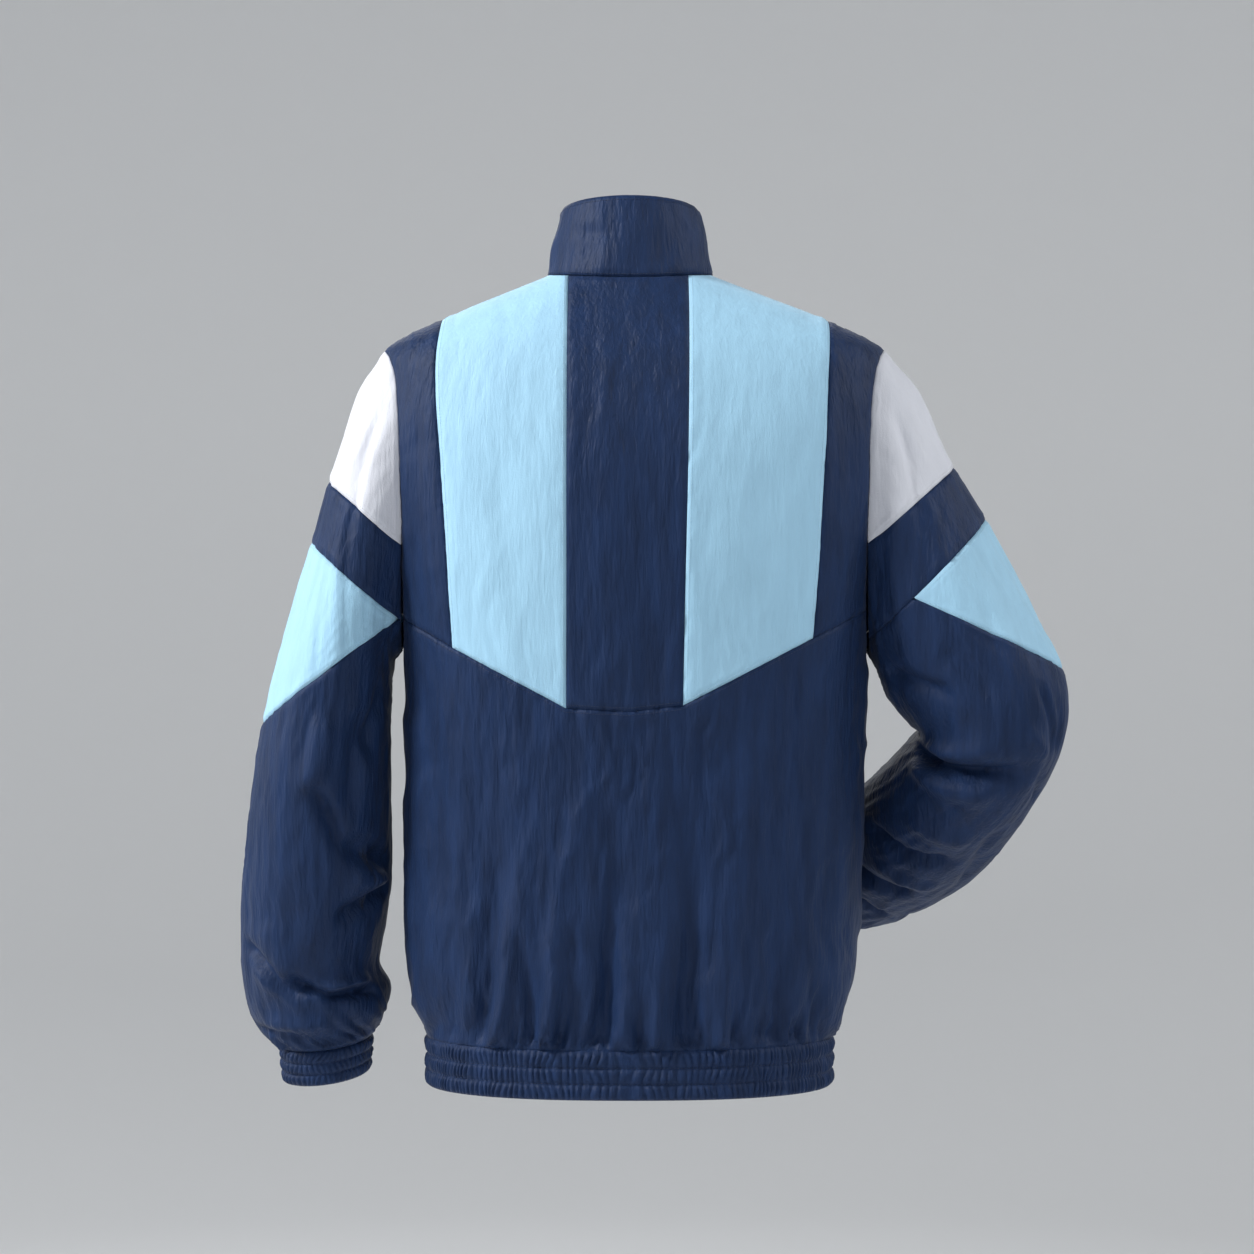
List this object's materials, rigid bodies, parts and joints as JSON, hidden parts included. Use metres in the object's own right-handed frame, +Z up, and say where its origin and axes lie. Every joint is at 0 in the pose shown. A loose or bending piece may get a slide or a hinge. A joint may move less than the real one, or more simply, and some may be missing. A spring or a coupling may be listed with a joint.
{
  "type": "windbreaker jacket",
  "caption": "Hollow worn-form windbreaker with stand collar, colour-blocked back and sleeves, closed front zip, shirred waistband and cuffs, one sleeve bent.",
  "frame": {"origin": "midway between the two side neck points, where the collar meets the shoulder seams and the shoulders carry the jacket", "axes": "+Z up, -Y out of the jacket's front, +X towards the wearer's left"},
  "size_m": [0.7156, 0.3223, 0.7668],
  "materials": {
    "navy_cloth": "crinkled nylon, soft low sheen",
    "light_blue_cloth": "crinkled nylon, soft low sheen",
    "white_cloth": "crinkled nylon, soft low sheen",
    "zip_tape": "woven tape with coil teeth",
    "zip_metal": "plated zinc"
  },
  "bodies": {
    "jacket": {"back_centre_panel": "navy_cloth", "back_blue_panel_left": "light_blue_cloth", "back_blue_panel_right": "light_blue_cloth", "back_side_panel_left": "navy_cloth", "back_side_panel_right": "navy_cloth", "back_lower_panel": "navy_cloth", "front_left_panel": "navy_cloth", "front_right_panel": "navy_cloth", "collar": "navy_cloth", "waistband": "navy_cloth", "sleeve_left_cap": "white_cloth", "sleeve_left_band": "navy_cloth", "sleeve_left_kite": "light_blue_cloth", "sleeve_left_lower": "navy_cloth", "cuff_left": "navy_cloth", "sleeve_right_cap": "white_cloth", "sleeve_right_band": "navy_cloth", "sleeve_right_kite": "light_blue_cloth", "sleeve_right_lower": "navy_cloth", "cuff_right": "navy_cloth", "zip_tape_left": "zip_tape", "zip_tape_right": "zip_tape", "zip_slider": "zip_metal"},
    "pull_tab": {"zip_pull": "zip_metal"}
  },
  "joints": [
    {"name": "pull_tab_hinge", "type": "hinge", "parent": "jacket", "child": "pull_tab", "pos_m": [0, -0.07198, -0.00543], "axis": [-1, 0, 0], "range_deg": [0, 150]}
  ]
}
